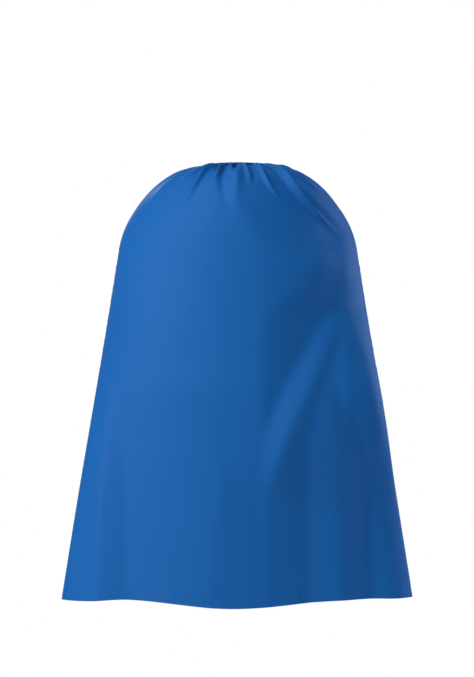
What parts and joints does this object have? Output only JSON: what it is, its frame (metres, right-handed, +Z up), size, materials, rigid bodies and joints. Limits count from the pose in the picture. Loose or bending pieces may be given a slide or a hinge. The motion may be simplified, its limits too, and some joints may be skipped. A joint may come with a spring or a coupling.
{
  "type": "superhero cape",
  "caption": "Child's plain satin costume cape: one flared panel gathered into a narrow neck binding, turned and stitched hems, hook-and-loop tab at the throat.",
  "frame": {"origin": "centre of the neck opening, level with the top of the neck binding", "axes": "+Z up, towards the wearer's head; -Y the way the wearer faces, so the cape hangs at +Y; +X the wearer's left"},
  "size_m": [0.538, 0.2017, 0.672],
  "materials": {
    "cape_cloth": "satin",
    "binding": "satin",
    "thread": "satin",
    "tape": "matte",
    "hook_tape": "matte",
    "loop_tape": "matte",
    "label_ribbon": "satin",
    "label_thread": "matte"
  },
  "bodies": {
    "root": {"cape_shoulders": "cape_cloth", "neck_band": "binding", "gathering_tape": "tape", "band_stitching": "thread", "bar_tacks": "thread", "left_shoulder_hem": "cape_cloth", "right_shoulder_hem": "cape_cloth", "shoulder_hem_stitching": "thread", "loop_tab": "binding", "loop_patch": "loop_tape", "loop_patch_stitching": "thread", "label_stitching": "label_thread"},
    "drape": {"cape_drape": "cape_cloth", "left_side_hem": "cape_cloth", "right_side_hem": "cape_cloth", "bottom_hem": "cape_cloth", "side_hem_stitching": "thread", "bottom_hem_stitching": "thread"},
    "closure": {"closure_tab": "binding", "hook_patch": "hook_tape", "hook_patch_stitching": "thread"},
    "label": {"care_label": "label_ribbon"}
  },
  "joints": [
    {"name": "drape_swing", "type": "hinge", "parent": "root", "child": "drape", "pos_m": [0, 0.115, -0.14], "axis": [1, 0, 0], "range_deg": [0, 45]},
    {"name": "closure_open", "type": "hinge", "parent": "root", "child": "closure", "pos_m": [0.0223, -0.0557, -0.006], "axis": [0, 0, 1], "range_deg": [0, 120]},
    {"name": "label_flip", "type": "hinge", "parent": "root", "child": "label", "pos_m": [0, 0.0542, -0.0044], "axis": [-1, 0, 0], "range_deg": [-15, 120]}
  ]
}
